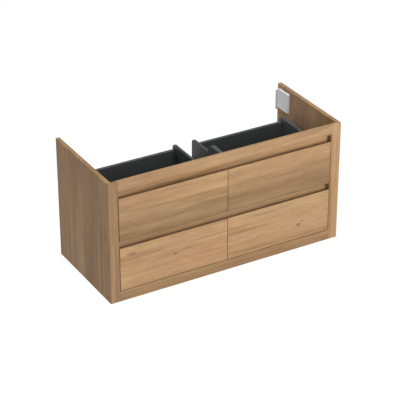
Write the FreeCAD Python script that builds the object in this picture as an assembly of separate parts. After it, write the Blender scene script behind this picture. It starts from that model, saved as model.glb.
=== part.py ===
import FreeCAD, Part
import os

# Wall-hung bathroom vanity cabinet: an oak carcass with a bevelled front frame, four drawers in
# two columns and two rows, finger gaps above each row, and a hanger in each rear top corner.
#
# Frame: millimetres, +Z up, X across the width, the front faces -Y. The origin is at the middle
# of the bounding box's bottom face. Depths are measured backwards from the front face.

# Overall size
WIDTH = 1200.0
DEPTH = 510.0
HEIGHT = 600.0
HOOK_REACH = 8.0            # how far the hanger hooks stand out behind the sides

# Oak boards of the carcass and the front frame
BOARD = 20.0
FRAME_BOARD = 16.0          # thickness of the front frame's stiles and rails
STILE_WIDTH = 29.0
TOP_RAIL = 52.0
BOTTOM_RAIL = 48.0
BEVEL_WIDTH = 11.0          # bevel round the inner edge of the front frame
BEVEL_DEPTH = 5.0
EASE = 1.0                  # small chamfer on board edges
SIDE_EASE = 2.0             # rounding of the side panels' top and rear edges
CORNER_ROUND = 6.0          # rounding of the cabinet's front outer corners

# Drawer fronts
FRONT_HEIGHT = 213.0
FRONT_THICKNESS = 20.0
FRONT_SETBACK = 4.0
FRONT_LIP = 5.0             # flat left on a front's top edge, in front of the finger bevel
FRONT_EASE = 1.0
REVEAL = 3.0
CENTRE_GAP = 2.5

# Grip strips behind the finger gaps, and what holds them
STRIP_SETBACK = 36.0
STRIP_THICKNESS = 18.0
UPPER_STRIP_Z = (484.0, 574.0)
MIDDLE_STRIP_Z = (236.0, 300.0)
CLEAT_HEIGHT = 20.0
POST_Z = (36.0, 560.0)

# Inner carcass
INNER_BOARD = 16.0
BOTTOM_PANEL_Z = 20.0
REAR_INSET = 20.0           # the rear rails and the bottom stop this far before the back edge
BACK_RAIL_HEIGHT = 80.0
BACK_RAIL_UPPER_Z = 200.0
PARTITION = 19.0
PARTITION_LOW_Z = 392.0
PARTITION_HIGH_Z = 572.0
PARTITION_HIGH_END = 166.0  # depth where the raised front part of the partition ends
PARTITION_ROUND = 30.0

# Drawer boxes
BOX_RISE = 3.5              # from a front's bottom edge to its box's bottom edge
BOX_HEIGHT = 176.0
BOX_END = 410.0
BOX_WALL = 13.0
BOX_BACK = 16.0
BACK_INSET = 5.0
BACK_DROP = 24.0            # how far a box's back stays below its sides
BOX_FLOOR = 12.0
FLOOR_RISE = 10.0
EAR_ROUND = 18.0
WALL_EASE = 2.0

# Ball-bearing runners: three nested channels in a gap beside each drawer side
RUNNER_GAP = 13.0
RUNNER_LENGTH = 350.0
RUNNER_START = 58.0
RUNNER_RISE = 50.0          # runner centre line above the bottom of the box
RUNNER_GAUGE = 1.5
SPACER_HEIGHT = 70.0
SPACER_END = 420.0
INNER_SPACER = 22.0

# Fasteners
DOWEL_RADIUS = 4.0
DOWEL_LENGTH = 30.0
SCREW_RADIUS = 1.8
SCREW_LENGTH = 10.0
SCREW_HEAD_RADIUS = 3.6
SCREW_HEAD = 1.2
HOLE_CLEARANCE = 0.05

# Hangers: a tray on the side panel with a hook that a screw raises and lowers
HANGER_DEPTH = (404.0, 491.0)
HANGER_Z = (483.0, 580.0)
HANGER_THICKNESS = 10.0
HANGER_COVER = 2.0
HANGER_WALL = 1.5
HOOK_PLATE = 3.0
HOOK_ARM_DEPTH = 422.0
HOOK_ARM_Z = (500.0, 564.0)
HOOK_CLAW_Z = (464.0, 560.0)
HOOK_CLAW_DEPTH = 506.0
HOOK_LUG_DEPTH = 438.0
HOOK_LUG_Z = (522.0, 540.0)
HOOK_TRAVEL = 5.0
HOOK_PLAY = 0.4
HEIGHT_SCREW_RADIUS = 3.0
HEIGHT_SCREW_DEPTH = 430.0

# Worked out from the sizes above
FRONT_Y = -(DEPTH + HOOK_REACH) / 2
INNER_X = WIDTH / 2 - BOARD             # inner face of a side panel
OPENING_X = INNER_X - STILE_WIDTH       # inner edge of a stile
FINGER_GAP = (HEIGHT - TOP_RAIL - BOTTOM_RAIL - REVEAL - 2 * FRONT_HEIGHT) / 2
LOWER_FRONT_Z = BOTTOM_RAIL + REVEAL
UPPER_FRONT_Z = LOWER_FRONT_Z + FRONT_HEIGHT + FINGER_GAP
TOP_RAIL_Z = HEIGHT - TOP_RAIL
FRONT_BACK = FRONT_SETBACK + FRONT_THICKNESS
STRIP_BACK = STRIP_SETBACK + STRIP_THICKNESS
PANEL_TOP_Z = BOTTOM_PANEL_Z + INNER_BOARD
REAR_DEPTH = DEPTH - REAR_INSET
PARTITION_X = PARTITION / 2
BAY_INNER_X = PARTITION_X + INNER_SPACER
BOX_INNER_X = BAY_INNER_X + RUNNER_GAP
BOX_OUTER_X = OPENING_X - RUNNER_GAP

ROWS = {"upper": UPPER_FRONT_Z, "lower": LOWER_FRONT_Z}
COLUMNS = {"left": -1, "right": 1}

X_AXIS = FreeCAD.Vector(1, 0, 0)
Y_AXIS = FreeCAD.Vector(0, 1, 0)
Z_AXIS = FreeCAD.Vector(0, 0, 1)


def point(x, depth, z):
    return FreeCAD.Vector(x, FRONT_Y + depth, z)


def block(x_span, depth_span, z_span):
    """A box between two x values, two depths and two heights, in any order."""
    spans = [sorted(span) for span in (x_span, depth_span, z_span)]
    size = [high - low for low, high in spans]
    return Part.makeBox(*size, point(*[low for low, high in spans]))


def prism(corners, sweep):
    """A solid swept along a vector from a closed outline of points."""
    outline = Part.makePolygon(corners + corners[:1])
    return Part.Face(outline).extrude(sweep)


def side_profile(outline, x_span):
    """A solid whose outline is given in depth and height, swept across x."""
    low, high = sorted(x_span)
    corners = [point(low, depth, z) for depth, z in outline]
    return prism(corners, X_AXIS * (high - low))


def edges_on(shape, x=None, depth=None, z=None):
    """Edges whose vertices all have the coordinates that are given."""
    wanted = point(x or 0, depth or 0, z or 0)

    def matches(vertex):
        near_x = x is None or abs(vertex.X - wanted.x) < 0.01
        near_y = depth is None or abs(vertex.Y - wanted.y) < 0.01
        near_z = z is None or abs(vertex.Z - wanted.z) < 0.01
        return near_x and near_y and near_z

    return [edge for edge in shape.Edges if all(matches(v) for v in edge.Vertexes)]


def eased(shape, size=EASE):
    return shape.makeChamfer(size, shape.Edges)


def rod(centre, axis, radius, length):
    """A cylinder centred on a point."""
    start = centre - axis * (length / 2)
    return Part.makeCylinder(radius, length, start, axis)


# ---------------------------------------------------------------- carcass

def side_panel(sign):
    outer = sign * WIDTH / 2
    panel = block((sign * INNER_X, outer), (0, DEPTH), (0, HEIGHT))
    panel = panel.makeFillet(CORNER_ROUND, edges_on(panel, x=outer, depth=0))
    long_edges = edges_on(panel, x=outer, depth=DEPTH) + edges_on(panel, z=HEIGHT, x=outer)
    long_edges += edges_on(panel, z=HEIGHT, x=sign * INNER_X)
    return panel.makeFillet(SIDE_EASE, long_edges)


def opening_bevel():
    """What the bevel takes off the frame: wide at the front face, mitred in the corners."""
    outlines = []
    for depth, margin in ((0, BEVEL_WIDTH), (BEVEL_DEPTH, 0)):
        x = OPENING_X + margin
        low = BOTTOM_RAIL - margin
        high = TOP_RAIL_Z + margin
        corners = [point(-x, depth, low), point(x, depth, low), point(x, depth, high),
                   point(-x, depth, high)]
        outlines.append(Part.makePolygon(corners + corners[:1]))
    return Part.makeLoft(outlines, True, True)


def frame_board(x_span, z_span):
    """A stile or a rail of the front frame, bevelled round the opening."""
    board = eased(block(x_span, (0, FRAME_BOARD), z_span), EASE / 2)
    return board.cut(opening_bevel())


def grip_strip(z_span):
    return eased(block((-OPENING_X, OPENING_X), (STRIP_SETBACK, STRIP_BACK), z_span))


def corner_posts():
    posts = []
    for sign in COLUMNS.values():
        span = (sign * OPENING_X, sign * INNER_X)
        posts.append(block(span, (FRAME_BOARD, STRIP_BACK), POST_Z))
    return posts


def centre_partition():
    """The middle upright: tall behind the front frame, low where the drawer boxes stand."""
    across = (-PARTITION_X, PARTITION_X)
    low = block(across, (STRIP_BACK, BOX_END), (PANEL_TOP_Z, PARTITION_LOW_Z))
    high = block(across, (STRIP_BACK, PARTITION_HIGH_END), (PANEL_TOP_Z, PARTITION_HIGH_Z))
    foot_top = BACK_RAIL_UPPER_Z + BACK_RAIL_HEIGHT
    foot_end = REAR_DEPTH - INNER_BOARD
    foot = block(across, (STRIP_BACK, foot_end), (PANEL_TOP_Z, foot_top))
    panel = low.fuse([high, foot]).removeSplitter()
    corners = edges_on(panel, depth=PARTITION_HIGH_END, z=PARTITION_HIGH_Z)
    corners += edges_on(panel, depth=PARTITION_HIGH_END, z=PARTITION_LOW_Z)
    corners += edges_on(panel, depth=BOX_END, z=PARTITION_LOW_Z)
    return panel.makeFillet(PARTITION_ROUND, corners)


def back_rail(low):
    depth_span = (REAR_DEPTH - INNER_BOARD, REAR_DEPTH)
    return eased(block((-INNER_X, INNER_X), depth_span, (low, low + BACK_RAIL_HEIGHT)), EASE / 2)


def runner_height(row):
    return ROWS[row] + BOX_RISE + RUNNER_RISE


def spacers(near, far):
    """Packing blocks behind the runners, between two distances from the cabinet's middle."""
    blocks = []
    for row in ROWS:
        middle = runner_height(row)
        z_span = (middle - SPACER_HEIGHT / 2, middle + SPACER_HEIGHT / 2)
        for sign in COLUMNS.values():
            blocks.append(block((sign * near, sign * far), (STRIP_BACK, SPACER_END), z_span))
    return blocks


# ---------------------------------------------------------------- drawers

def drawer_front(row, sign):
    """A front with its top edge bevelled down to the back, so that fingers can pull it."""
    low = ROWS[row]
    high = low + FRONT_HEIGHT
    bevel = FRONT_THICKNESS - FRONT_LIP
    outline = [
        (FRONT_SETBACK, low),
        (FRONT_SETBACK, high),
        (FRONT_SETBACK + FRONT_LIP, high),
        (FRONT_BACK, high - bevel),
        (FRONT_BACK, low),
    ]
    x_span = (sign * CENTRE_GAP / 2, sign * (OPENING_X - REVEAL))
    front = side_profile(outline, x_span)
    return front.makeFillet(FRONT_EASE, edges_on(front, depth=FRONT_SETBACK))


def drawer_side(row, near, far):
    """A box side with a rounded upper rear corner."""
    low = ROWS[row] + BOX_RISE
    high = low + BOX_HEIGHT
    side = block((near, far), (FRONT_BACK, BOX_END), (low, high))
    side = side.makeFillet(EAR_ROUND, edges_on(side, depth=BOX_END, z=high))
    return side.makeFillet(WALL_EASE, edges_on(side, z=high))


def drawer_back(row, x_span):
    low = ROWS[row] + BOX_RISE + FLOOR_RISE
    high = ROWS[row] + BOX_RISE + BOX_HEIGHT - BACK_DROP
    end = BOX_END - BACK_INSET
    back = block(x_span, (end - BOX_BACK, end), (low, high))
    top = edges_on(back, depth=end, z=high) + edges_on(back, depth=end - BOX_BACK, z=high)
    return back.makeFillet(WALL_EASE, top)


def drawer_bottom(row, x_span):
    low = ROWS[row] + BOX_RISE + FLOOR_RISE
    end = BOX_END - BACK_INSET - BOX_BACK
    return block(x_span, (FRONT_BACK, end), (low, low + BOX_FLOOR))


# ---------------------------------------------------------------- runners

def channel(web, lip, half_height):
    """An open channel's outline: distances from the runner's fixed face, and heights."""
    gauge = RUNNER_GAUGE if lip > web else -RUNNER_GAUGE
    inside = half_height - RUNNER_GAUGE
    return [
        (web, -half_height),
        (web, half_height),
        (lip, half_height),
        (lip, inside),
        (web + gauge, inside),
        (web + gauge, -inside),
        (lip, -inside),
        (lip, -half_height),
    ]


CABINET_CHANNEL = channel(0.0, 11.5, 22.5)
MIDDLE_CHANNEL = channel(4.5, 11.0, 18.0)
DRAWER_CHANNEL = channel(RUNNER_GAP, 7.5, 13.0)


def runner_faces(sign):
    """Where a column's two runners stand: the fixed face's x, and the way to the drawer."""
    return [(sign * OPENING_X, -sign), (sign * BAY_INNER_X, sign)]


def runner_pair(outline, row, sign):
    members = []
    for face, toward in runner_faces(sign):
        corners = []
        for distance, height in outline:
            x = face + toward * distance
            corners.append(point(x, RUNNER_START, runner_height(row) + height))
        members.append(prism(corners, Y_AXIS * RUNNER_LENGTH))
    return members


def screw(x, depth, z, toward):
    """A flat-headed screw: its head's inner face is at x, and its shank runs the other way."""
    start = point(x, depth, z)
    shank = Part.makeCylinder(SCREW_RADIUS, SCREW_LENGTH, start, X_AXIS * -toward)
    head = Part.makeCylinder(SCREW_HEAD_RADIUS, SCREW_HEAD, start, X_AXIS * toward)
    return head.fuse(shank).removeSplitter()


def screw_hole(x, depth, z, toward):
    start = point(x, depth, z)
    radius = SCREW_RADIUS + HOLE_CLEARANCE
    return Part.makeCylinder(radius, SCREW_LENGTH + HOLE_CLEARANCE, start, X_AXIS * -toward)


def runner_screw_places(row, sign, on_drawer):
    """Head positions of the screws that hold one member of a drawer's runners."""
    depths = [RUNNER_START + RUNNER_LENGTH * share for share in (0.12, 0.88)]
    places = []
    for face, toward in runner_faces(sign):
        if on_drawer:
            x = face + toward * (RUNNER_GAP - RUNNER_GAUGE)
            way = -toward
        else:
            x = face + toward * RUNNER_GAUGE
            way = toward
        places += [(x, depth, runner_height(row), way) for depth in depths]
    return places


# ---------------------------------------------------------------- hangers

def hanger_housing(sign):
    """A shallow tray on the side panel, open to the room and notched for the hook."""
    face = sign * INNER_X
    room = sign * (INNER_X - HANGER_THICKNESS)
    tray = block((face, room), HANGER_DEPTH, HANGER_Z)
    inside_depth = (HANGER_DEPTH[0] + HANGER_WALL, HANGER_DEPTH[1] - HANGER_WALL)
    inside_z = (HANGER_Z[0] + HANGER_WALL, HANGER_Z[1] - HANGER_WALL)
    inside_face = sign * (INNER_X - HANGER_WALL)
    hollow = block((inside_face, room), inside_depth, inside_z)
    reach = HOOK_TRAVEL + HOOK_PLAY
    slot_z = (HOOK_ARM_Z[0] - reach, HOOK_ARM_Z[1] + reach)
    slot = block((inside_face, room), (inside_depth[1], HANGER_DEPTH[1]), slot_z)
    return tray.cut([hollow, slot])


def hanger_cover(sign):
    room = INNER_X - HANGER_THICKNESS
    cap = block((sign * room, sign * (room - HANGER_COVER)), HANGER_DEPTH, HANGER_Z)
    return cap.makeFillet(HANGER_COVER * 0.4, edges_on(cap, x=sign * (room - HANGER_COVER)))


def hanger_middle(sign):
    """The x of the height screw's axis, in the middle of the tray's hollow."""
    return sign * (INNER_X - (HANGER_WALL + HANGER_THICKNESS) / 2)


def hanger_hook(sign):
    """A flat plate with a claw behind the cabinet and a lug that rides on the height screw."""
    middle = hanger_middle(sign)
    plate = (middle - HOOK_PLATE / 2, middle + HOOK_PLATE / 2)
    end = DEPTH + HOOK_REACH
    arm = block(plate, (HOOK_LUG_DEPTH, end), HOOK_ARM_Z)
    claw = block(plate, (HOOK_CLAW_DEPTH, end), HOOK_CLAW_Z)
    lug_x = (middle - HEIGHT_SCREW_RADIUS - 1, middle + HEIGHT_SCREW_RADIUS + 1)
    lug = block(lug_x, (HOOK_ARM_DEPTH, HOOK_LUG_DEPTH), HOOK_LUG_Z)
    hole_radius = HEIGHT_SCREW_RADIUS + HOLE_CLEARANCE
    tall = HANGER_Z[1] - HANGER_Z[0]
    hole = rod(point(middle, HEIGHT_SCREW_DEPTH, sum(HANGER_Z) / 2), Z_AXIS, hole_radius, tall)
    return arm.fuse([claw, lug]).removeSplitter().cut(hole)


def hanger_height_screw(sign):
    middle = hanger_middle(sign)
    low = HANGER_Z[0] + HANGER_WALL
    high = HANGER_Z[1] - HANGER_WALL
    length = high - low - 2 * HOOK_PLAY
    body = rod(point(middle, HEIGHT_SCREW_DEPTH, (low + high) / 2), Z_AXIS,
               HEIGHT_SCREW_RADIUS, length)
    slot_size = (HEIGHT_SCREW_RADIUS * 2, HEIGHT_SCREW_RADIUS * 0.4)
    top = high - HOOK_PLAY
    slot = block((middle - slot_size[0], middle + slot_size[0]),
                 (HEIGHT_SCREW_DEPTH - slot_size[1], HEIGHT_SCREW_DEPTH + slot_size[1]),
                 (top - HEIGHT_SCREW_RADIUS, top))
    return body.cut(slot)


def hanger_screw_places():
    depth = HANGER_DEPTH[0] + 10
    heights = [sum(HANGER_Z) / 2 + step for step in (-33, 0, 33)]
    places = []
    for sign in COLUMNS.values():
        x = sign * (INNER_X - HANGER_WALL)
        places += [(x, depth, z, -sign) for z in heights]
    return places


# ---------------------------------------------------------------- dowels

def dowel_places():
    """Each dowel's centre and axis, with the names of the two nodes that it joins."""
    places = []
    for side, sign in COLUMNS.items():
        panel = "side_panel_" + side
        stile_name = "stile_" + side
        edge = sign * OPENING_X
        wall = sign * INNER_X
        frame_depth = FRAME_BOARD / 2
        strip_depth = (STRIP_SETBACK + STRIP_BACK) / 2
        rear_depth = REAR_DEPTH - INNER_BOARD / 2
        for z in (TOP_RAIL_Z + 18, TOP_RAIL_Z + 38):
            places.append((point(edge, frame_depth, z), X_AXIS, (stile_name, "top_rail")))
        for z in (12, 32):
            places.append((point(edge, frame_depth, z), X_AXIS, (stile_name, "bottom_rail")))
        for z in (100, 300, 500):
            places.append((point(wall, frame_depth, z), X_AXIS, (stile_name, panel)))
        for z in (150, 400):
            places.append((point(wall, strip_depth, z), X_AXIS, ("corner_posts", panel)))
        for z in (510, 545):
            pair = ("corner_posts", "upper_grip_strip")
            places.append((point(edge, strip_depth, z), X_AXIS, pair))
        for z in (250, 276):
            pair = ("corner_posts", "middle_grip_strip")
            places.append((point(edge, strip_depth, z), X_AXIS, pair))
        for depth in (100, 250, 400):
            place = point(wall, depth, BOTTOM_PANEL_Z + INNER_BOARD / 2)
            places.append((place, X_AXIS, ("bottom_panel", panel)))
        for z in (BACK_RAIL_UPPER_Z + 20, BACK_RAIL_UPPER_Z + 60):
            places.append((point(wall, rear_depth, z), X_AXIS, ("back_rail_upper", panel)))
        for z in (PANEL_TOP_Z + 20, PANEL_TOP_Z + 60):
            places.append((point(wall, rear_depth, z), X_AXIS, ("back_rail_lower", panel)))
    for depth in (120, 360):
        place = point(0, depth, PANEL_TOP_Z + 4)
        places.append((place, Z_AXIS, ("centre_partition", "bottom_panel")))
    for z, strip in ((263, "middle_grip_strip"), (520, "upper_grip_strip")):
        places.append((point(0, STRIP_BACK, z), Y_AXIS, ("centre_partition", strip)))
    return places


# ---------------------------------------------------------------- assembly

nodes = {}


def add(name, solids):
    nodes[name] = solids if isinstance(solids, list) else [solids]


def drill(name, tool):
    """Cut a hole in whichever of a node's solids it meets."""
    nodes[name] = [solid.cut(tool) for solid in nodes[name]]


for side, sign in COLUMNS.items():
    add("side_panel_" + side, side_panel(sign))
    add("stile_" + side, frame_board((sign * OPENING_X, sign * INNER_X), (0, HEIGHT)))
    add("hanger_housing_" + side, hanger_housing(sign))
    add("hanger_cover_" + side, hanger_cover(sign))
    add("hanger_hook_" + side, hanger_hook(sign))
    add("hanger_height_screw_" + side, hanger_height_screw(sign))

add("top_rail", frame_board((-OPENING_X, OPENING_X), (TOP_RAIL_Z, HEIGHT)))
add("bottom_rail", frame_board((-OPENING_X, OPENING_X), (0, BOTTOM_RAIL)))
add("corner_posts", corner_posts())
add("upper_grip_strip", grip_strip(UPPER_STRIP_Z))
add("middle_grip_strip", grip_strip(MIDDLE_STRIP_Z))
cleat_z = (UPPER_STRIP_Z[1] - CLEAT_HEIGHT, UPPER_STRIP_Z[1])
add("top_cleat", block((-OPENING_X, OPENING_X), (FRAME_BOARD, STRIP_SETBACK), cleat_z))
panel_depth = (FRAME_BOARD, REAR_DEPTH)
add("bottom_panel", block((-INNER_X, INNER_X), panel_depth, (BOTTOM_PANEL_Z, PANEL_TOP_Z)))
add("back_rail_upper", back_rail(BACK_RAIL_UPPER_Z))
add("back_rail_lower", back_rail(PANEL_TOP_Z))
add("centre_partition", centre_partition())
add("runner_spacers_outer", spacers(OPENING_X, INNER_X))
add("runner_spacers_inner", spacers(PARTITION_X, BAY_INNER_X))

rails = []
rail_screws = []
for row in ROWS:
    for side, sign in COLUMNS.items():
        name = row + "_" + side
        outer = (sign * (BOX_OUTER_X - BOX_WALL), sign * BOX_OUTER_X)
        inner = (sign * BOX_INNER_X, sign * (BOX_INNER_X + BOX_WALL))
        between = (inner[1], outer[0])
        left, right = (outer, inner) if sign < 0 else (inner, outer)
        add("front_" + name, drawer_front(row, sign))
        add("side_left_" + name, drawer_side(row, *left))
        add("side_right_" + name, drawer_side(row, *right))
        add("back_" + name, drawer_back(row, between))
        add("bottom_" + name, drawer_bottom(row, between))
        add("runner_mid_" + name, runner_pair(MIDDLE_CHANNEL, row, sign))
        add("runner_slide_" + name, runner_pair(DRAWER_CHANNEL, row, sign))
        rails += runner_pair(CABINET_CHANNEL, row, sign)
        on_drawer = runner_screw_places(row, sign, on_drawer=True)
        add("slide_screws_" + name, [screw(*place) for place in on_drawer])
        for place in on_drawer:
            hole = screw_hole(*place)
            for part in ("runner_slide_", "side_left_", "side_right_"):
                drill(part + name, hole)
        rail_screws += runner_screw_places(row, sign, on_drawer=False)

add("runner_rails", rails)
add("runner_screws", [screw(*place) for place in rail_screws])
for place in rail_screws:
    hole = screw_hole(*place)
    for part in ("runner_rails", "runner_spacers_outer", "runner_spacers_inner"):
        drill(part, hole)

add("hanger_fixing_screws", [screw(*place) for place in hanger_screw_places()])
for place in hanger_screw_places():
    hole = screw_hole(*place)
    for side in COLUMNS:
        drill("hanger_housing_" + side, hole)
        drill("side_panel_" + side, hole)

dowels = []
for centre, axis, joined in dowel_places():
    dowels.append(rod(centre, axis, DOWEL_RADIUS, DOWEL_LENGTH))
    bore = rod(centre, axis, DOWEL_RADIUS + HOLE_CLEARANCE, DOWEL_LENGTH + 2 * HOLE_CLEARANCE)
    for name in joined:
        drill(name, bore)
add("frame_dowels", dowels)

os.makedirs("parts", exist_ok=True)
for name, solids in nodes.items():
    shape = solids[0] if len(solids) == 1 else Part.makeCompound(solids)
    if not shape.isValid():
        raise ValueError(name + " is not a valid shape")
    shape.exportStep("parts/" + name + ".step")
print(len(nodes), "nodes written")
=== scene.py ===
"""The looks of a wall-hung oak vanity cabinet with four drawers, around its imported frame."""
import math

import bpy
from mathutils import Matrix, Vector


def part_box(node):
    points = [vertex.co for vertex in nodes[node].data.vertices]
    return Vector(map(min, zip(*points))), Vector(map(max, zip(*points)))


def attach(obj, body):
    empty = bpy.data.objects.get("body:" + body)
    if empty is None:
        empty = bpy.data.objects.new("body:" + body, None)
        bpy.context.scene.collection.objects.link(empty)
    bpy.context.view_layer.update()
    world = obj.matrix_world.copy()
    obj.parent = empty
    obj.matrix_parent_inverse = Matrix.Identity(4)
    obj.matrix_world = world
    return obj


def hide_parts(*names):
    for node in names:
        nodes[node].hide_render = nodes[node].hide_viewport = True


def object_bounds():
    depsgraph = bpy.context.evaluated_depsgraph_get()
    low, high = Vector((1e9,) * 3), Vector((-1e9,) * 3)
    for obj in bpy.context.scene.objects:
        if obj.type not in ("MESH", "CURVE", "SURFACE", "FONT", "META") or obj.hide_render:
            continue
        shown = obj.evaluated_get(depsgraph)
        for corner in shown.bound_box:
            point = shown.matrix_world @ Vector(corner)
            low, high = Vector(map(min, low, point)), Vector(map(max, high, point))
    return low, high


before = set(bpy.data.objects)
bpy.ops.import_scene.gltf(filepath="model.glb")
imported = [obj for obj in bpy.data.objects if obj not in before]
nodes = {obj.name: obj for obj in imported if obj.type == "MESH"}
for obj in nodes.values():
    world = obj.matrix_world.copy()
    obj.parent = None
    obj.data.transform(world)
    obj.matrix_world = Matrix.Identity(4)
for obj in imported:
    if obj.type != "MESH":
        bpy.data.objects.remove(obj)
cad_low, cad_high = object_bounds()

# ------------------------------------------------------------------ named values

ROWS = ("upper", "lower")
SIDES = ("left", "right")
DRAWERS = [row + "_" + side for row in ROWS for side in SIDES]

# Camera: the way it looks, how far off it stands, and the point it looks at from the box's middle
AZIMUTH = math.radians(30.02)
ELEVATION = math.radians(28.76)
DISTANCE = 7.523
AIM = Vector((-0.0110, -0.0237, -0.0472))
LENS = 146.8
SENSOR = 36.0

# Oak: its colours, then lengths in metres, then how much darker a cut end is
HONEY = (0.375, 0.240, 0.124)
AMBER = (0.262, 0.148, 0.066)
ROSY = (0.335, 0.200, 0.112)
KNOT_DARK = (0.090, 0.048, 0.026)
KNOT_LIGHT = (0.150, 0.100, 0.062)
RING_WIDTH = 0.0046
WARP = 0.032
# Width of the lighter band along every oak edge: partly wear, partly painted highlight
EDGE_WEAR_AND_HIGHLIGHT = 0.0022
STAVE_WIDTH = 0.083
END_GRAIN = 0.05

# Dark board: the width of its lighter edges, partly wear and partly painted highlight
BOARD_WEAR_AND_HIGHLIGHT = 0.0012

# Added meshes: faces that meet at more than this angle keep a sharp edge
SHARP_ANGLE = math.radians(35.0)

# Screws, in metres. SCREW_SPAN is longer than one screw and shorter than the gap between two
SCREW_SPAN = 0.015
THREAD_PITCH = 0.0012
THREAD_CORE = 0.0013
THREAD_CREST = 0.0018
THREAD_START = 0.0009
THREAD_STEPS = 30
THREAD_SHORTFALL = 0.0012
TIP_RADIUS = 0.0002
HEAD_DEPTH = 0.0012
HEAD_ROUND = 0.0002
FLANGE = 0.0005
RECESS_DEPTH = 0.0009
CROSS_ARM = 0.0018
CROSS_CORE = 0.0007

# Runner balls, in metres
RUNNER_FACE = 0.0045
BALLS_IN_ROW = 10
BALL_STEP = 0.012
BALL_START = 0.020
BALL_ROWS = (
    # height from the runner's centre line, distance from its fixed face, ball radius, rear half
    (0.0195, 0.0080, 0.00135, True),
    (0.01475, 0.0092, 0.00155, False),
)

# Hanger cover, in metres
COVER_CORNER = 0.005
RIM_DROP = 0.0005
COVER_RINGS = (
    # depth from the cover's face, margin inside its outline, corner radius
    (0.0008, 0.0, COVER_CORNER),
    (0.0, 0.0008, 0.0045),
    (0.0, 0.0035, 0.003),
    (RIM_DROP, 0.0040, 0.0028),
)
HOLE_RINGS = (
    # depth below the cover's sunk face, radius
    (0.0, 0.0055),
    (0.0010, 0.0050),
)
HOLE_OFFSET = 0.45

# Studio
WHITE = (1.0, 1.0, 1.0)
SKY_LEVEL = 0.26
BACKDROP_LEVEL = 1.0
FLOOR_GLOW = 0.95
FLOOR_HALF = 40.0
FLOOR_GAP = 0.0005
LIGHTS = (
    # name, direction from the cabinet, distance, size, level, tint
    ("key", (0.35, -0.92, 0.18), 4.0, 1.8, 0.48, (1.0, 0.99, 0.97)),
    ("top", (0.0, -0.05, 1.0), 4.0, 1.8, 0.88, WHITE),
    ("camera_fill", (-0.05, -0.87, 0.48), 4.0, 2.2, 0.44, WHITE),
    ("back_fill", (-0.75, 0.80, 0.45), 4.5, 2.4, 0.11, WHITE),
)


# ------------------------------------------------------------------ node trees

class Shade:
    """A material's node tree. Each method adds one node and returns the socket that it gives."""

    def __init__(self, name):
        self.material = bpy.data.materials.new(name)
        self.material.use_nodes = True
        self.tree = self.material.node_tree
        self.tree.nodes.clear()
        output = self.tree.nodes.new("ShaderNodeOutputMaterial")
        self.shader = self.tree.nodes.new("ShaderNodeBsdfPrincipled")
        self.tree.links.new(self.shader.outputs[0], output.inputs[0])

    def feed(self, socket, value):
        if isinstance(value, bpy.types.NodeSocket):
            self.tree.links.new(value, socket)
        else:
            socket.default_value = value

    def node(self, kind, inputs, output=0, **settings):
        made = self.tree.nodes.new("ShaderNode" + kind)
        for key, value in settings.items():
            setattr(made, key, value)
        for key, value in inputs.items():
            self.feed(made.inputs[key], value)
        return made.outputs[output]

    def math(self, operation, *values):
        return self.node("Math", dict(enumerate(values)), operation=operation)

    def vector(self, operation, *values):
        return self.node("VectorMath", dict(enumerate(values)), operation=operation)

    def combine(self, x, y, z):
        return self.node("CombineXYZ", {0: x, 1: y, 2: z})

    def split(self, vector):
        made = self.tree.nodes.new("ShaderNodeSeparateXYZ")
        self.feed(made.inputs[0], vector)
        return tuple(made.outputs)

    def random(self, value):
        """A random number from 0 to 1 for each whole value."""
        return self.node("TexWhiteNoise", {"W": value}, noise_dimensions="1D")

    def place(self):
        """The point on the object, in metres in the cabinet's frame."""
        return self.node("TexCoord", {}, output="Object")

    def noise(self, place, stretch, seed=0.0, detail=2.0, roughness=0.5):
        """Noise from 0 to 1 with that many waves to the metre along each axis."""
        scaled = self.vector("MULTIPLY", place, stretch)
        inputs = {"Vector": scaled, "W": seed, "Scale": 1.0, "Detail": detail}
        inputs["Roughness"] = roughness
        return self.node("TexNoise", inputs, noise_dimensions="4D")

    def smooth(self, value, low, high, to_low=0.0, to_high=1.0):
        """A smooth step of a value from one pair of limits to another."""
        inputs = {"Value": value, "From Min": low, "From Max": high}
        inputs.update({"To Min": to_low, "To Max": to_high})
        return self.node("MapRange", inputs, interpolation_type="SMOOTHSTEP")

    def mix(self, share, first, second, blend="MIX"):
        """Two colours mixed by a share from 0 to 1."""
        made = self.tree.nodes.new("ShaderNodeMix")
        made.data_type = "RGBA"
        made.blend_type = blend
        colours = [c if isinstance(c, bpy.types.NodeSocket) else (*c, 1.0) for c in (first, second)]
        self.feed(made.inputs["Factor"], share)
        for socket, colour in zip([s for s in made.inputs if s.type == "RGBA"], colours):
            self.feed(socket, colour)
        return next(s for s in made.outputs if s.type == "RGBA")

    def darken(self, colour, share, strength):
        """A colour times 1 - share * strength."""
        level = self.math("MULTIPLY_ADD", share, -strength, 1.0)
        return self.scaled(colour, level)

    def scaled(self, colour, level):
        made = self.tree.nodes.new("ShaderNodeVectorMath")
        made.operation = "SCALE"
        self.feed(made.inputs[0], colour)
        self.feed(made.inputs["Scale"], level)
        return made.outputs[0]

    def bump(self, height, distance, strength=1.0):
        inputs = {"Height": height, "Distance": distance, "Strength": strength}
        self.feed(self.shader.inputs["Normal"], self.node("Bump", inputs))

    def finish(self, colour, roughness, **constants):
        """Colour and roughness may be textures; the constants are set on the shader itself."""
        self.feed(self.shader.inputs["Base Color"], colour)
        self.feed(self.shader.inputs["Roughness"], roughness)
        for name, value in constants.items():
            self.shader.inputs[name.replace("_", " ")].default_value = value
        return self.material


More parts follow.
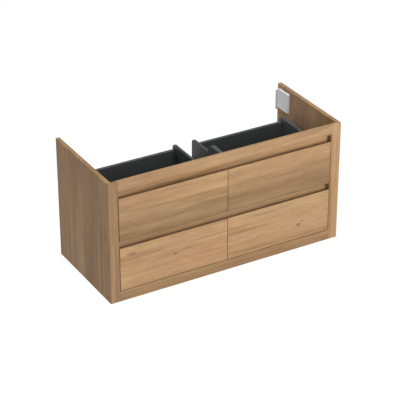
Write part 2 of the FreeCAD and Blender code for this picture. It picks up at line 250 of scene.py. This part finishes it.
def edge_share(shade, place, low, high, width):
    """1 on the edges of a box between two corners, falling to 0 at a width inside them."""
    inward = []
    for value, near, far in zip(shade.split(place), low, high):
        from_near = shade.math("SUBTRACT", value, near)
        from_far = shade.math("SUBTRACT", far, value)
        inward.append(shade.math("MINIMUM", from_near, from_far))
    a, b, c = inward
    nearer = shade.math("MINIMUM", a, b)
    farther = shade.math("MAXIMUM", a, b)
    middle = shade.math("MAXIMUM", nearer, shade.math("MINIMUM", farther, c))
    ragged = shade.noise(place, (90.0, 90.0, 90.0), seed=3.7, detail=3.0)
    middle = shade.math("MULTIPLY_ADD", ragged, width, middle)
    return shade.smooth(middle, width * 0.5, width * 1.5, 1.0, 0.0)


# ------------------------------------------------------------------ oak

def marks_on(shade, along, across, marks):
    """Knots and streaks on a board's face: how far they push the rings, and how dark they are."""
    push, stain = 0.0, 0.0
    for centre, half_length, half_width, darkness, ring_push in marks:
        da = shade.math("DIVIDE", shade.math("SUBTRACT", along, centre[0]), half_length)
        dc = shade.math("DIVIDE", shade.math("SUBTRACT", across, centre[1]), half_width)
        away = shade.math("SQRT", shade.math("ADD", shade.math("POWER", da, 2.0),
                                             shade.math("POWER", dc, 2.0)))
        core = shade.smooth(away, 0.35, 1.15, darkness, 0.0)
        stain = shade.math("MAXIMUM", stain, core)
        if ring_push:
            swell = shade.smooth(away, 0.0, 4.0, ring_push, 0.0)
            push = shade.math("ADD", push, swell)
    return push, stain


def oak(name, grain, seed, tone=1.0, drift=0.0, warmth=0.5, pith=(0.05, 0.09), marks=(),
        stave=0.0):
    """Solid oak whose grain runs along "x", "y" or "z". The rings go round a pith line that
    lies pith[0] across and pith[1] behind the board, drift darkens the board's lower edge,
    and a stave width glues the board up from strips that differ a little."""
    shade = Shade(name + "_oak")
    place = shade.place()
    x, y, z = shade.split(place)
    low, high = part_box(name)
    middle = (low + high) / 2
    thin = min(range(3), key=lambda axis: high[axis] - low[axis])
    order = {"x": (0, 2, 1), "z": (2, 0, 1), "y": (1, 2, 0)}[grain]
    if grain == "z" and thin == 0:
        order = (2, 1, 0)
    along, across, through = ((x, y, z)[axis] for axis in order)
    board = shade.combine(along, across, through)

    wobble = shade.noise(board, (9.0, 30.0, 30.0), seed + 0.3, 2.0)
    face_across = shade.math("MULTIPLY_ADD", wobble, 0.008, shade.math("SUBTRACT", across, 0.004))
    push, stain = marks_on(shade, along, face_across, marks)

    bend_a = shade.noise(board, (1.3, 5.0, 5.0), seed, 2.0)
    bend_b = shade.noise(board, (1.1, 4.0, 4.0), seed + 7.1, 2.0)
    off_across = shade.math("SUBTRACT", across, middle[order[1]] + pith[0])
    off_through = shade.math("SUBTRACT", through, middle[order[2]] + pith[1])
    off_across = shade.math("MULTIPLY_ADD", shade.math("SUBTRACT", bend_a, 0.5), WARP, off_across)
    off_through = shade.math("MULTIPLY_ADD", shade.math("SUBTRACT", bend_b, 0.5), WARP, off_through)
    squares = shade.math("ADD", shade.math("POWER", off_across, 2.0),
                         shade.math("POWER", off_through, 2.0))
    radius = shade.math("ADD", shade.math("SQRT", squares), push)
    glued = 0.5
    if stave:
        strip = shade.math("FLOOR", shade.math("DIVIDE", shade.math("ADD", across, seed), stave))
        glued = shade.random(shade.math("ADD", strip, seed))
        radius = shade.math("MULTIPLY_ADD", glued, 0.31, radius)

    fine = shade.noise(board, (30.0, 260.0, 260.0), seed + 1.9, 3.0)
    turns = shade.math("MULTIPLY_ADD", fine, 0.35, shade.math("DIVIDE", radius, RING_WIDTH))
    phase = shade.math("FRACT", turns)
    early = shade.smooth(phase, 0.0, 0.45, 1.0, 0.0)
    late = shade.smooth(phase, 0.55, 1.0)

    figure = shade.combine(shade.math("MULTIPLY", along, 0.9),
                           shade.math("MULTIPLY", radius, 34.0), seed)
    band = shade.noise(figure, (1.0, 1.0, 1.0), seed + 2.2, 3.0, 0.55)
    streak = shade.noise(figure, (1.6, 2.6, 1.0), seed + 3.3, 2.0, 0.6)
    blotch = shade.noise(board, (2.6, 11.0, 11.0), seed + 4.4, 2.0)
    fibre = shade.noise(board, (16.0, 820.0, 820.0), seed + 5.5, 2.0)
    pore_noise = shade.noise(board, (60.0, 1500.0, 1500.0), seed + 6.6, 1.0)
    pores = shade.math("MULTIPLY", shade.smooth(pore_noise, 0.56, 0.68), early)
    ray_noise = shade.noise(board, (24.0, 150.0, 700.0), seed + 8.8, 1.0)
    rays = shade.smooth(ray_noise, 0.62, 0.74)

    colour = shade.mix(shade.smooth(band, 0.30, 0.72), HONEY, AMBER)
    rosy = shade.math("MULTIPLY", shade.smooth(blotch, 0.40, 0.66), warmth)
    colour = shade.mix(rosy, colour, ROSY)
    colour = shade.darken(colour, shade.smooth(streak, 0.53, 0.73), 0.27)
    colour = shade.darken(colour, early, 0.07)
    colour = shade.darken(colour, late, 0.04)
    colour = shade.darken(colour, pores, 0.42)
    colour = shade.darken(colour, rays, -0.06)
    colour = shade.scaled(colour, shade.math("MULTIPLY_ADD", fibre, 0.22, 0.89))
    mottle = shade.noise(board, (12.0, 60.0, 60.0), seed + 9.9, 4.0, 0.65)
    colour = shade.scaled(colour, shade.math("MULTIPLY_ADD", mottle, 0.55, 0.735))
    knot = shade.mix(blotch, KNOT_DARK, KNOT_LIGHT)
    colour = shade.mix(stain, colour, knot)

    level = tone
    if stave:
        level = shade.math("MULTIPLY_ADD", glued, tone * 0.24, tone * 0.88)
    if drift:
        height = shade.smooth(across, low[order[1]], high[order[1]])
        uneven = shade.math("MULTIPLY_ADD", shade.math("SUBTRACT", bend_a, 0.5), 0.9, height)
        level = shade.smooth(uneven, 0.05, 1.02, tone * (1.0 - drift), tone)
    colour = shade.scaled(colour, level)
    # Lighter edges: partly wear, partly a painted highlight where light catches the rounded edges
    worn_and_lit = edge_share(shade, place, low, high, EDGE_WEAR_AND_HIGHLIGHT)
    colour = shade.darken(colour, worn_and_lit, -0.10)
    normal = shade.split(shade.node("TexCoord", {}, output="Normal"))[order[0]]
    cut_end = shade.smooth(shade.math("ABSOLUTE", normal), 0.6, 0.9)
    colour = shade.darken(colour, cut_end, END_GRAIN)

    relief = shade.math("MULTIPLY_ADD", pores, -1.0, shade.math("MULTIPLY", fibre, 0.25))
    relief = shade.math("MULTIPLY_ADD", early, -0.25, relief)
    shade.bump(relief, 0.0002, 0.6)
    gloss = shade.math("MULTIPLY_ADD", fibre, 0.14, 0.52)
    gloss = shade.math("MULTIPLY_ADD", pores, 0.18, gloss)
    gloss = shade.math("MULTIPLY_ADD", worn_and_lit, 0.10, gloss)
    return shade.finish(colour, gloss, IOR=1.46, Specular_IOR_Level=0.16)


# ------------------------------------------------------------------ boards and metals

def melamine(name):
    """Anthracite board with a fine embossed grain and slightly lighter edges, partly wear and
    partly painted highlight.
    """
    shade = Shade(name + "_anthracite")
    place = shade.place()
    low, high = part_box(name)
    emboss = shade.noise(place, (420.0, 420.0, 420.0), 1.1, 4.0, 0.6)
    weave_x = shade.noise(place, (40.0, 1100.0, 1100.0), 2.1, 2.0)
    weave_z = shade.noise(place, (1100.0, 40.0, 40.0), 3.1, 2.0)
    threads = shade.math("MULTIPLY", weave_x, weave_z)
    cloud = shade.noise(place, (7.0, 7.0, 7.0), 4.1, 3.0)
    colour = shade.mix(cloud, (0.044, 0.052, 0.052), (0.062, 0.071, 0.070))
    colour = shade.scaled(colour, shade.math("MULTIPLY_ADD", threads, 0.9, 0.80))
    # Lighter edges: partly wear, partly a painted highlight where light catches the board's top
    # edges
    worn_and_lit = edge_share(shade, place, low, high, BOARD_WEAR_AND_HIGHLIGHT)
    colour = shade.mix(shade.math("MULTIPLY", worn_and_lit, 0.35), colour, (0.08, 0.09, 0.09))
    relief = shade.math("ADD", shade.math("MULTIPLY", emboss, 0.5), threads)
    shade.bump(relief, 0.00018, 0.7)
    gloss = shade.math("MULTIPLY_ADD", emboss, 0.22, 0.46)
    return shade.finish(colour, gloss, IOR=1.5, Specular_IOR_Level=0.35)


def packing_board():
    """Raw chipboard: pale flakes of several browns, laid flat."""
    shade = Shade("chipboard")
    place = shade.place()
    scaled = shade.vector("MULTIPLY", place, (260.0, 260.0, 420.0))
    flakes = shade.node("TexVoronoi", {"Vector": scaled, "Scale": 1.0}, output="Color")
    tint = shade.split(flakes)[0]
    colour = shade.mix(tint, (0.36, 0.24, 0.13), (0.52, 0.40, 0.25))
    dust = shade.noise(place, (900.0, 900.0, 900.0), 1.3, 3.0)
    colour = shade.scaled(colour, shade.math("MULTIPLY_ADD", dust, 0.4, 0.8))
    shade.bump(shade.math("ADD", tint, dust), 0.0003, 0.6)
    return shade.finish(colour, shade.math("MULTIPLY_ADD", dust, 0.15, 0.72), IOR=1.45)


def beech():
    """Pale beech dowels with short dark flecks along the grain."""
    shade = Shade("beech")
    place = shade.place()
    flecks = shade.smooth(shade.noise(place, (220.0, 1400.0, 1400.0), 1.7, 1.0), 0.60, 0.70)
    cloud = shade.noise(place, (40.0, 160.0, 160.0), 2.7, 2.0)
    colour = shade.mix(cloud, (0.52, 0.34, 0.20), (0.62, 0.44, 0.28))
    colour = shade.darken(colour, flecks, 0.35)
    shade.bump(shade.math("MULTIPLY_ADD", flecks, -1.0, cloud), 0.0002, 0.5)
    return shade.finish(colour, shade.math("MULTIPLY_ADD", cloud, 0.15, 0.5), IOR=1.45)


def zinc(name="zinc", level=1.0):
    """Rolled zinc-plated steel: long rolling lines, faint spangle and rubbed patches."""
    shade = Shade(name)
    place = shade.place()
    lines = shade.noise(place, (1500.0, 9.0, 1500.0), 1.5, 3.0)
    spangle = shade.node("TexVoronoi", {"Vector": place, "Scale": 140.0}, output="Color")
    grain = shade.split(spangle)[0]
    rubbed = shade.noise(place, (14.0, 5.0, 14.0), 2.5, 4.0)
    colour = shade.mix(lines, (0.52, 0.54, 0.56), (0.70, 0.72, 0.74))
    colour = shade.scaled(colour, shade.math("MULTIPLY_ADD", grain, 0.12 * level, 0.90 * level))
    gloss = shade.math("MULTIPLY_ADD", rubbed, 0.22, 0.20)
    gloss = shade.math("MULTIPLY_ADD", grain, 0.06, gloss)
    shade.bump(shade.math("MULTIPLY_ADD", lines, 0.6, grain), 0.00004, 0.6)
    return shade.finish(colour, gloss, Metallic=1.0)


def screw_steel():
    """Bright plated screws with turning marks and darker recesses."""
    shade = Shade("screw_steel")
    place = shade.place()
    marks = shade.noise(place, (1800.0, 1800.0, 1800.0), 1.2, 3.0)
    stain = shade.noise(place, (120.0, 120.0, 120.0), 2.2, 3.0)
    colour = shade.mix(stain, (0.45, 0.43, 0.38), (0.66, 0.65, 0.62))
    shade.bump(marks, 0.00005, 0.7)
    return shade.finish(colour, shade.math("MULTIPLY_ADD", stain, 0.3, 0.18), Metallic=1.0)


def cover_plastic():
    """Light grey moulded cover with a fine spark-eroded surface."""
    shade = Shade("cover_plastic")
    place = shade.place()
    erosion = shade.noise(place, (1600.0, 1600.0, 1600.0), 1.4, 3.0, 0.6)
    cloud = shade.noise(place, (22.0, 22.0, 22.0), 2.4, 3.0)
    colour = shade.mix(cloud, (0.53, 0.53, 0.55), (0.62, 0.62, 0.63))
    shade.bump(erosion, 0.00008, 0.6)
    return shade.finish(colour, shade.math("MULTIPLY_ADD", erosion, 0.2, 0.34), IOR=1.49)


# ------------------------------------------------------------------ who gets which

def paint(name, material):
    mesh = nodes[name].data
    mesh.materials.clear()
    mesh.materials.append(material)


# Each oak node. A mark is (place along and across the grain), half length, half width,
# darkness and how far it pushes the rings
OAK_BOARDS = {
    "side_panel_left": dict(grain="z", seed=1.0, tone=0.88, warmth=0.5, pith=(0.02, 0.30),
                            stave=STAVE_WIDTH, marks=[
        ((0.330, -0.224), 0.032, 0.008, 0.50, 0.0),
        ((0.220, -0.243), 0.070, 0.006, 0.70, 0.002),
        ((0.300, 0.225), 0.520, 0.055, 0.20, 0.0),
    ]),
    "side_panel_right": dict(grain="z", seed=2.0, tone=0.95, warmth=0.9, pith=(-0.04, 0.20),
                             stave=STAVE_WIDTH),
    "stile_left": dict(grain="z", seed=3.0, tone=0.74, warmth=0.6, pith=(0.03, 0.05)),
    "stile_right": dict(grain="z", seed=4.0, tone=1.08, warmth=0.5, pith=(-0.04, 0.06)),
    "top_rail": dict(grain="x", seed=5.0, tone=0.93, warmth=0.6, pith=(0.02, 0.07)),
    "bottom_rail": dict(grain="x", seed=6.0, tone=0.80, warmth=0.7, pith=(0.05, 0.06)),
    "front_upper_left": dict(grain="x", seed=7.0, tone=1.02, drift=0.36, warmth=0.6,
                             pith=(0.16, 0.10)),
    "front_upper_right": dict(grain="x", seed=8.0, tone=1.02, drift=0.34, warmth=0.5,
                              pith=(0.18, 0.12)),
    "front_lower_left": dict(grain="x", seed=9.0, tone=1.07, warmth=0.6,
                             pith=(-0.05, 0.12), marks=[
        ((-0.489, 0.224), 0.030, 0.010, 0.60, 0.006),
        ((-0.270, 0.164), 0.012, 0.008, 0.85, 0.007),
        ((-0.345, 0.163), 0.070, 0.005, 0.40, 0.002),
        ((-0.430, 0.120), 0.090, 0.004, 0.25, 0.002),
        ((-0.100, 0.236), 0.060, 0.005, 0.25, 0.002),
    ]),
    "front_lower_right": dict(grain="x", seed=10.0, tone=1.00, warmth=0.6,
                              pith=(0.10, 0.05), marks=[
        ((0.383, 0.124), 0.016, 0.011, 0.75, 0.008),
        ((0.402, 0.141), 0.018, 0.007, 0.45, 0.0),
        ((0.180, 0.236), 0.110, 0.005, 0.30, 0.003),
    ]),
    # Painted light: the grip strips sit in shaded recesses under the rail and the upper fronts, and
    # get a lighter tone than the other boards so that they look lit
    "upper_grip_strip": dict(grain="x", seed=11.0, tone=1.22, warmth=0.6),
    "middle_grip_strip": dict(grain="x", seed=12.0, tone=1.12, warmth=0.6),
    "top_cleat": dict(grain="x", seed=13.0, tone=0.95, warmth=0.4),
    "corner_posts": dict(grain="z", seed=14.0, tone=0.90, warmth=0.5),
    "bottom_panel": dict(grain="x", seed=15.0, tone=0.95, warmth=0.4),
    "back_rail_upper": dict(grain="x", seed=16.0, tone=0.95, warmth=0.4),
    "back_rail_lower": dict(grain="x", seed=17.0, tone=0.92, warmth=0.6),
}

for name, finish in OAK_BOARDS.items():
    paint(name, oak(name, **finish))

dark_boards = ["centre_partition"]
for drawer in DRAWERS:
    dark_boards += [part + drawer for part in ("side_left_", "side_right_", "back_", "bottom_")]
for name in dark_boards:
    paint(name, melamine(name))

metal = zinc()
dull_metal = zinc("dull_zinc", 0.55)
steel = screw_steel()
plastic = cover_plastic()
chipboard = packing_board()
paint("runner_rails", metal)
paint("frame_dowels", beech())
paint("runner_screws", steel)
paint("hanger_fixing_screws", steel)
for side in SIDES:
    paint("hanger_housing_" + side, plastic)
    paint("hanger_cover_" + side, plastic)
    paint("hanger_hook_" + side, dull_metal)
    paint("hanger_height_screw_" + side, steel)
for end in ("outer", "inner"):
    paint("runner_spacers_" + end, chipboard)
for drawer in DRAWERS:
    paint("runner_mid_" + drawer, metal)
    paint("runner_slide_" + drawer, metal)
    paint("slide_screws_" + drawer, steel)


# ------------------------------------------------------------------ small parts in full detail

class Shape:
    """Vertices and faces gathered for one mesh."""

    def __init__(self):
        self.points = []
        self.faces = []

    def loft(self, rings):
        """A closed skin over rings of as many points each, with a flat end at both ends."""
        count = len(rings[0])
        start = len(self.points)
        for ring in rings:
            self.points += ring
        for level in range(len(rings) - 1):
            base = start + level * count
            for i in range(count):
                j = (i + 1) % count
                self.faces.append((base + i, base + j, base + count + j, base + count + i))
        last = start + (len(rings) - 1) * count
        self.faces.append(tuple(range(start + count - 1, start - 1, -1)))
        self.faces.append(tuple(range(last, last + count)))

    def turned(self, place, toward, profile, segments=16):
        """A part turned about an axis along X: (distance, radius) pairs, where a radius may
        be a function of the angle."""
        rings = []
        for distance, radius in profile:
            ring = []
            for i in range(segments):
                angle = math.tau * i / segments
                r = radius(angle) if callable(radius) else radius
                ring.append((place[0] + toward * distance, place[1] + r * math.cos(angle),
                             place[2] + toward * r * math.sin(angle)))
            rings.append(ring)
        self.loft(rings)

    def ball(self, centre, radius):
        steps = 6
        profile = []
        for k in range(steps + 1):
            turn = math.pi * k / steps
            profile.append((-radius * math.cos(turn), max(radius * math.sin(turn), radius * 0.02)))
        self.turned(centre, 1.0, profile, segments=10)

    def build(self, name, material, body, stands_for=()):
        mesh = bpy.data.meshes.new(name)
        mesh.from_pydata(self.points, [], self.faces)
        mesh.update()
        mesh.shade_smooth()
        mesh.set_sharp_from_angle(angle=SHARP_ANGLE)
        mesh.materials.append(material)
        piece = bpy.data.objects.new(name, mesh)
        bpy.context.scene.collection.objects.link(piece)
        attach(piece, body)
        if stands_for:
            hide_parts(*stands_for)


def screw_spots(name):
    """The points of each screw of a node, one list for each screw."""
    spots = []
    for vertex in nodes[name].data.vertices:
        at = vertex.co
        for spot in spots:
            if (at - spot[0]).length < SCREW_SPAN:
                spot[1].append(at.copy())
                break
        else:
            spots.append((at.copy(), [at.copy()]))
    return [points for _, points in spots]


def thread(distance):
    """The radius of a screw's thread at a distance along it, for every angle round it."""
    def radius(angle):
        turn = (distance / THREAD_PITCH - angle / math.tau) % 1.0
        return THREAD_CORE + (THREAD_CREST - THREAD_CORE) * (1.0 - abs(2.0 * turn - 1.0))
    return radius


def cross(scale):
    """The radius of a cross recess at each angle round it."""
    def radius(angle):
        arm = abs(math.cos(2.0 * angle))
        on_arm = arm > 0.95 and abs(math.sin(2.0 * angle)) < 0.1
        return scale * (CROSS_ARM if on_arm else CROSS_CORE)
    return radius


def detailed_screws(name, body):
    """A node's screws with a thread, a flanged head and a cross recess, in place of plain ones."""
    shape = Shape()
    for points in screw_spots(name):
        low = Vector([min(p[k] for p in points) for k in range(3)])
        high = Vector([max(p[k] for p in points) for k in range(3)])
        y, z = (low.y + high.y) / 2, (low.z + high.z) / 2
        length = high.x - low.x
        wide = (high.y - low.y) / 2
        at_high = max(abs(p.y - y) for p in points if high.x - p.x < length * 0.05)
        toward = 1.0 if at_high > wide * 0.8 else -1.0
        tip = (low.x if toward > 0 else high.x, y, z)
        neck = length - HEAD_DEPTH
        profile = [(0.0, TIP_RADIUS)]
        for k in range(THREAD_STEPS + 1):
            distance = THREAD_START + (neck - THREAD_SHORTFALL) * k / THREAD_STEPS
            profile.append((distance, thread(distance)))
        profile += [(neck, THREAD_CREST), (neck, wide), (neck + FLANGE, wide)]
        profile += [(length - HEAD_ROUND, wide * 0.88), (length, wide * 0.74)]
        profile += [(length, cross(1.0)), (length - RECESS_DEPTH, cross(0.6))]
        shape.turned(tip, toward, profile)
    shape.build(name + "_detailed", steel, body, (name,))


def runner_balls(drawer):
    """The steel balls between a drawer's runner channels, in the middle channel's two races."""
    low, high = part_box("runner_mid_" + drawer)
    centre_z = (low.z + high.z) / 2
    shape = Shape()
    for face, toward in ((low.x - RUNNER_FACE, 1.0), (high.x + RUNNER_FACE, -1.0)):
        for height, distance, radius, rear in BALL_ROWS:
            start = high.y - BALL_START if rear else low.y + BALL_START
            step = -BALL_STEP if rear else BALL_STEP
            for up in (1.0, -1.0):
                for k in range(BALLS_IN_ROW):
                    centre = (face + toward * distance, start + step * k, centre_z + up * height)
                    shape.ball(centre, radius)
    shape.build("runner_balls_" + drawer, metal, "runner_mid_" + drawer)


def rounded_outline(centre, half_y, half_z, radius, corner_steps=8):
    """Points (y, z) round a rectangle with rounded corners."""
    outline = []
    for quarter in range(4):
        for k in range(corner_steps):
            angle = math.pi / 2 * (quarter + k / (corner_steps - 1))
            corner_y = (half_y - radius) * (1 if quarter in (0, 3) else -1)
            corner_z = (half_z - radius) * (1 if quarter in (0, 1) else -1)
            outline.append((centre[0] + corner_y + radius * math.cos(angle),
                            centre[1] + corner_z + radius * math.sin(angle)))
    return outline


def circle_outline(centre, radius, pattern):
    """Points round a circle, each on the line from its centre to the pattern's point."""
    outline = []
    for y, z in pattern:
        away = Vector((y - centre[0], z - centre[1])).normalized() * radius
        outline.append((centre[0] + away.x, centre[1] + away.y))
    return outline


def hanger_cover(side, sign):
    """A moulded cover with soft corners, a raised rim and a round hole for the driver."""
    name = "hanger_cover_" + side
    low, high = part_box(name)
    centre = ((low.y + high.y) / 2, (low.z + high.z) / 2)
    half_y, half_z = (high.y - low.y) / 2, (high.z - low.z) / 2
    room = low.x if sign > 0 else high.x
    back = high.x if sign > 0 else low.x
    inward = 1.0 if sign > 0 else -1.0
    hole = (centre[0] - half_y * HOLE_OFFSET, centre[1] + half_z * HOLE_OFFSET)
    whole = rounded_outline(centre, half_y, half_z, COVER_CORNER)
    rings = [[(back, y, z) for y, z in whole]]
    for depth, margin, radius in COVER_RINGS:
        x = room + inward * depth
        outline = rounded_outline(centre, half_y - margin, half_z - margin, radius)
        rings.append([(x, y, z) for y, z in outline])
    flat = room + inward * RIM_DROP
    for depth, radius in HOLE_RINGS:
        outline = circle_outline(hole, radius, whole)
        rings.append([(flat + inward * depth, y, z) for y, z in outline])
    shape = Shape()
    shape.loft(rings if sign < 0 else [list(reversed(ring)) for ring in rings])
    shape.build(name + "_moulded", plastic, "root", (name,))


for drawer in DRAWERS:
    detailed_screws("slide_screws_" + drawer, "drawer_" + drawer)
    runner_balls(drawer)
detailed_screws("runner_screws", "root")
detailed_screws("hanger_fixing_screws", "root")
for side, sign in zip(SIDES, (-1, 1)):
    hanger_cover(side, sign)


# ------------------------------------------------------------------ studio

middle = (cad_low + cad_high) / 2


def studio_floor():
    """A pale floor that glows a little, so that it stays as pale as the backdrop."""
    half = FLOOR_HALF
    mesh = bpy.data.meshes.new("studio_floor")
    ground = cad_low.z - FLOOR_GAP
    square = ((-half, -half), (half, -half), (half, half), (-half, half))
    mesh.from_pydata([(x, y, ground) for x, y in square], [], [(0, 1, 2, 3)])
    floor = bpy.data.objects.new("studio_floor", mesh)
    bpy.context.scene.collection.objects.link(floor)
    shade = Shade("studio_floor")
    speckle = shade.noise(shade.place(), (3.0, 3.0, 3.0), 0.5, 3.0)
    colour = shade.mix(speckle, (0.09, 0.09, 0.09), (0.11, 0.11, 0.11))
    shade.shader.inputs["Emission Color"].default_value = (1.0, 1.0, 1.0, 1.0)
    shade.finish(colour, 0.9, Emission_Strength=FLOOR_GLOW, Specular_IOR_Level=0.0)
    mesh.materials.append(shade.material)


def soft_light(name, direction, distance, size, level, tint):
    """A round soft light. level is how brightly it lights a surface that faces it."""
    light = bpy.data.lights.new(name, "AREA")
    light.shape = "DISK"
    light.size = size
    light.energy = level * math.pi ** 2 * distance ** 2
    light.color = tint
    lamp = bpy.data.objects.new(name, light)
    away = Vector(direction).normalized()
    lamp.location = middle + away * distance
    lamp.rotation_mode = "QUATERNION"
    lamp.rotation_quaternion = away.to_track_quat("Z", "Y")
    bpy.context.scene.collection.objects.link(lamp)


def studio_sky():
    """Even soft light from all round, with a white backdrop behind the object."""
    world = bpy.data.worlds.new("studio")
    world.use_nodes = True
    tree = world.node_tree
    tree.nodes.clear()
    output = tree.nodes.new("ShaderNodeOutputWorld")
    pick = tree.nodes.new("ShaderNodeMixShader")
    ray = tree.nodes.new("ShaderNodeLightPath")
    tree.links.new(ray.outputs["Is Camera Ray"], pick.inputs[0])
    for place, strength in ((1, SKY_LEVEL), (2, BACKDROP_LEVEL)):
        backdrop = tree.nodes.new("ShaderNodeBackground")
        backdrop.inputs["Color"].default_value = (1.0, 1.0, 1.0, 1.0)
        backdrop.inputs["Strength"].default_value = strength
        tree.links.new(backdrop.outputs[0], pick.inputs[place])
    tree.links.new(pick.outputs[0], output.inputs[0])
    bpy.context.scene.world = world


def photo_camera():
    forward = Vector((
        math.sin(AZIMUTH) * math.cos(ELEVATION),
        math.cos(AZIMUTH) * math.cos(ELEVATION),
        -math.sin(ELEVATION),
    ))
    lens = bpy.data.cameras.new("camera")
    lens.lens = LENS
    lens.sensor_width = SENSOR
    camera = bpy.data.objects.new("camera", lens)
    camera.location = middle + AIM - forward * DISTANCE
    camera.rotation_mode = "QUATERNION"
    camera.rotation_quaternion = forward.to_track_quat("-Z", "Y")
    bpy.context.scene.collection.objects.link(camera)
    bpy.context.scene.camera = camera


studio_floor()
studio_sky()
for light in LIGHTS:
    soft_light(*light)
photo_camera()
bpy.context.scene.view_settings.view_transform = "Standard"
